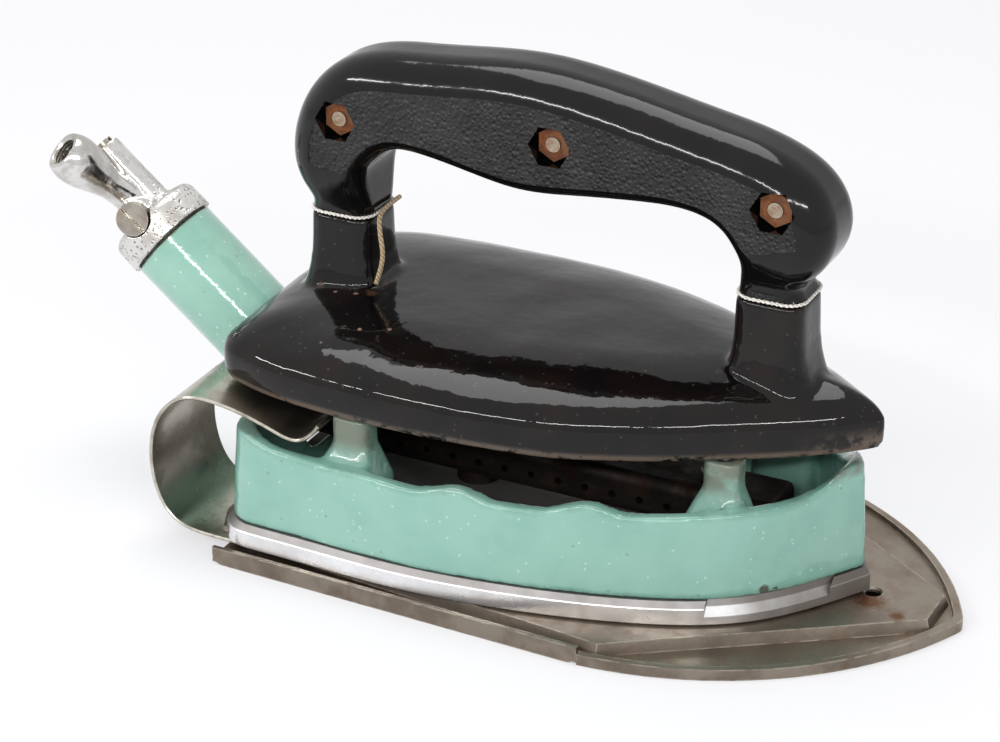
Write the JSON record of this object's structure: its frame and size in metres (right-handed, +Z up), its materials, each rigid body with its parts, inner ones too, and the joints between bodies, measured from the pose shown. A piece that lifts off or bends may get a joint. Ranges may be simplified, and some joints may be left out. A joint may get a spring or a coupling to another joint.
{
  "type": "gas flat iron",
  "caption": "Gas-heated flat iron with enamelled casing, moulded handle, injector tube and inner burner, resting on a pressed steel stand with spring clips.",
  "frame": {"origin": "centre of the whole object's bounding box in plan, at the floor under the stand", "axes": "+X from the heel towards the nose, +Y to the left side seen from the heel, +Z up"},
  "size_m": [0.2656, 0.12, 0.1375],
  "materials": {
    "stand_steel": "grey-brown weathered sheet steel, lightly rusted",
    "clip_steel": "brownish nickelled spring steel with bright edges",
    "ground_iron": "plated and ground cast iron with a dull shoulder",
    "green_enamel": "glossy pale green vitreous enamel with brown-stained edges",
    "black_enamel": "glossy black vitreous enamel",
    "black_bakelite": "polished black moulded phenolic with pebbled side panels",
    "plated_metal": "worn nickel plating, polished on the nozzle and pitted on the flange",
    "screw_steel": "plain steel",
    "rusty_steel": "rusted steel",
    "shield_steel": "dull mild steel",
    "burner_iron": "heat-darkened cast iron",
    "jet_brass": "brass",
    "packing": "pale fibre packing",
    "string": "beige twisted string"
  },
  "bodies": {
    "stand": {"clip_rivets": "clip_steel", "spring_clip_left": "clip_steel", "spring_clip_right": "clip_steel", "stand_base": "stand_steel", "stand_top_plate": "stand_steel"},
    "iron": {"body_casing": "green_enamel", "burner_bar": "burner_iron", "burner_screws": "screw_steel", "cap_gasket": "packing", "cover_screws": "screw_steel", "front_packing": "packing", "gas_jet": "jet_brass", "handle_bolts": "screw_steel", "handle_core": "shield_steel", "handle_hex_nuts": "rusty_steel", "handle_left_shell": "black_bakelite", "handle_right_shell": "black_bakelite", "heat_shield": "shield_steel", "injector_cap": "plated_metal", "mixing_tube": "green_enamel", "rear_packing": "packing", "shield_screws": "screw_steel", "sole_plate": "ground_iron", "sole_screws": "screw_steel", "string_tail": "string", "stud_nuts": "screw_steel", "stud_washers": "screw_steel", "top_cover": "black_enamel", "tube_set_screw": "plated_metal"},
    "regulating_screw": {"regulating_screw": "plated_metal"},
    "needle_screw": {"needle_screw": "plated_metal"}
  },
  "joints": [
    {"name": "iron_slide", "type": "slide", "parent": "stand", "child": "iron", "axis": [1, 0, 0], "range_m": [0, 0.05]},
    {"name": "regulating_screw_turn", "type": "hinge", "parent": "iron", "child": "regulating_screw", "pos_m": [-0.10972, -0.01068, 0.07386], "axis": [0.2066, -0.9455, 0.2516], "range_deg": [0, 180]},
    {"name": "needle_screw_turn", "type": "hinge", "parent": "iron", "child": "needle_screw", "pos_m": [-0.11458, 0, 0.08008], "axis": [-0.7727, 0, 0.6347], "range_deg": [0, 180]}
  ]
}
